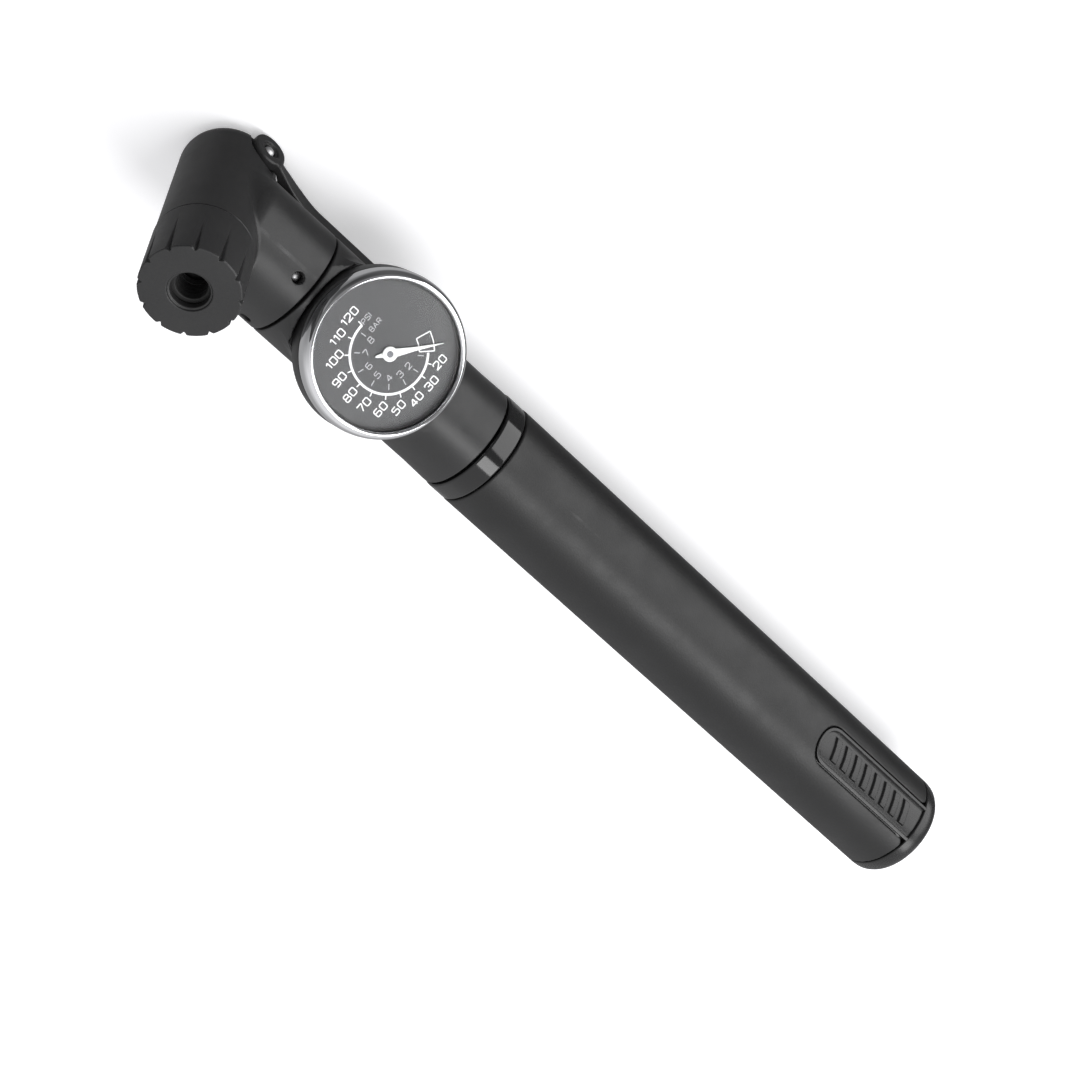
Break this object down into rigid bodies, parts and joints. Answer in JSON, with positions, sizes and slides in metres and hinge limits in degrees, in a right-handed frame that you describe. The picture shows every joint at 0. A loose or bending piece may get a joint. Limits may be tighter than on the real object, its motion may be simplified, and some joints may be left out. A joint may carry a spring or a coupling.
{
  "type": "mini bicycle pump",
  "caption": "Compact hand pump for bicycle tyres with a sliding handle, thumb-lock lever, screw nozzle cap and round dial gauge.",
  "frame": {"origin": "under the middle of the bounding box, on the plane the pump lies on", "axes": "+X along the pump's axis toward the handle's end; +Z out of the nozzle's face; +Y toward the side the gauge leans to"},
  "size_m": [0.254, 0.0402, 0.0537],
  "materials": {
    "satin_black_plastic": "satin moulded nylon, very fine grain",
    "grained_black_plastic": "fine matte grain all over",
    "gloss_black_plastic": "glossy, lightly scuffed",
    "black_rubber": "moulded",
    "polished_chrome": "polished plating",
    "bright_steel": "bright turned",
    "drawn_aluminium": "drawn tube, greased",
    "turned_brass": "turned",
    "white_acetal": "moulded",
    "dial_grey": "satin paint with white print",
    "needle_white": "satin white paint",
    "clear_lens": "clear, polished"
  },
  "bodies": {
    "pump": {"head_body": "satin_black_plastic", "neck_pin_a": "bright_steel", "neck_pin_b": "bright_steel", "pump_body": "satin_black_plastic", "barrel_tube": "drawn_aluminium", "valve_seat": "turned_brass", "check_valve": "black_rubber", "rod_guide": "white_acetal", "gauge_case": "satin_black_plastic", "bezel": "polished_chrome", "lens": "clear_lens", "lens_gasket": "black_rubber", "dial_plate": "dial_grey", "gauge_stem": "turned_brass", "bourdon_tube": "turned_brass", "movement_plate": "turned_brass"},
    "handle": {"handle_sleeve": "grained_black_plastic", "collar_ring": "gloss_black_plastic", "end_cap": "gloss_black_plastic", "handle_bush": "white_acetal", "piston_rod": "bright_steel", "piston_head": "white_acetal", "piston_seal": "black_rubber", "rod_nut": "bright_steel", "rod_bumper": "black_rubber"},
    "lever": {"thumb_lever": "satin_black_plastic", "lever_pin": "bright_steel", "lever_cam": "turned_brass"},
    "plunger": {"plunger": "satin_black_plastic", "plunger_oring": "black_rubber"},
    "nozzle_seal": {"grommet": "black_rubber", "grommet_washer": "satin_black_plastic"},
    "nozzle": {"nozzle_cap": "satin_black_plastic"},
    "pointer": {"needle": "needle_white", "needle_shaft": "bright_steel"},
    "sector": {"sector_gear": "turned_brass"}
  },
  "joints": [
    {"name": "handle_slide", "type": "slide", "parent": "pump", "child": "handle", "axis": [1, 0, 0], "range_m": [0, 0.125]},
    {"name": "lever_hinge", "type": "hinge", "parent": "pump", "child": "lever", "pos_m": [-0.11345, -0.00608, 0.0043], "axis": [0, 1, 0], "range_deg": [0, 90]},
    {"name": "plunger_slide", "type": "slide", "parent": "pump", "child": "plunger", "axis": [0, 0, 1], "range_m": [0, 0.00113]},
    {"name": "nozzle_lift", "type": "slide", "parent": "pump", "child": "nozzle_seal", "axis": [0, 0, 1], "range_m": [0, 0.0015]},
    {"name": "nozzle_turn", "type": "hinge", "parent": "nozzle_seal", "child": "nozzle", "pos_m": [-0.11585, -0.00608, 0.045], "axis": [0, 0, 1], "range_deg": [0, 360]},
    {"name": "needle_turn", "type": "hinge", "parent": "pump", "child": "pointer", "pos_m": [-0.06985, -0.00542, 0.02044], "axis": [0, 0.5721, 0.8202], "range_deg": [-235, 0], "stiffness_Nm_per_rad": 0.0001, "springref_deg": 2.86},
    {"name": "sector_turn", "type": "hinge", "parent": "pump", "child": "sector", "pos_m": [-0.06985, -0.01084, 0.02422], "axis": [0, 0.5721, 0.8202], "range_deg": [0, 69]}
  ],
  "couplings": [
    {"joint": "lever_hinge", "follows": "plunger_slide", "rad_per_m": 1388.9},
    {"joint": "nozzle_turn", "follows": "nozzle_lift", "rad_per_m": 4188.8},
    {"joint": "sector_turn", "follows": "needle_turn", "ratio": -0.29}
  ]
}
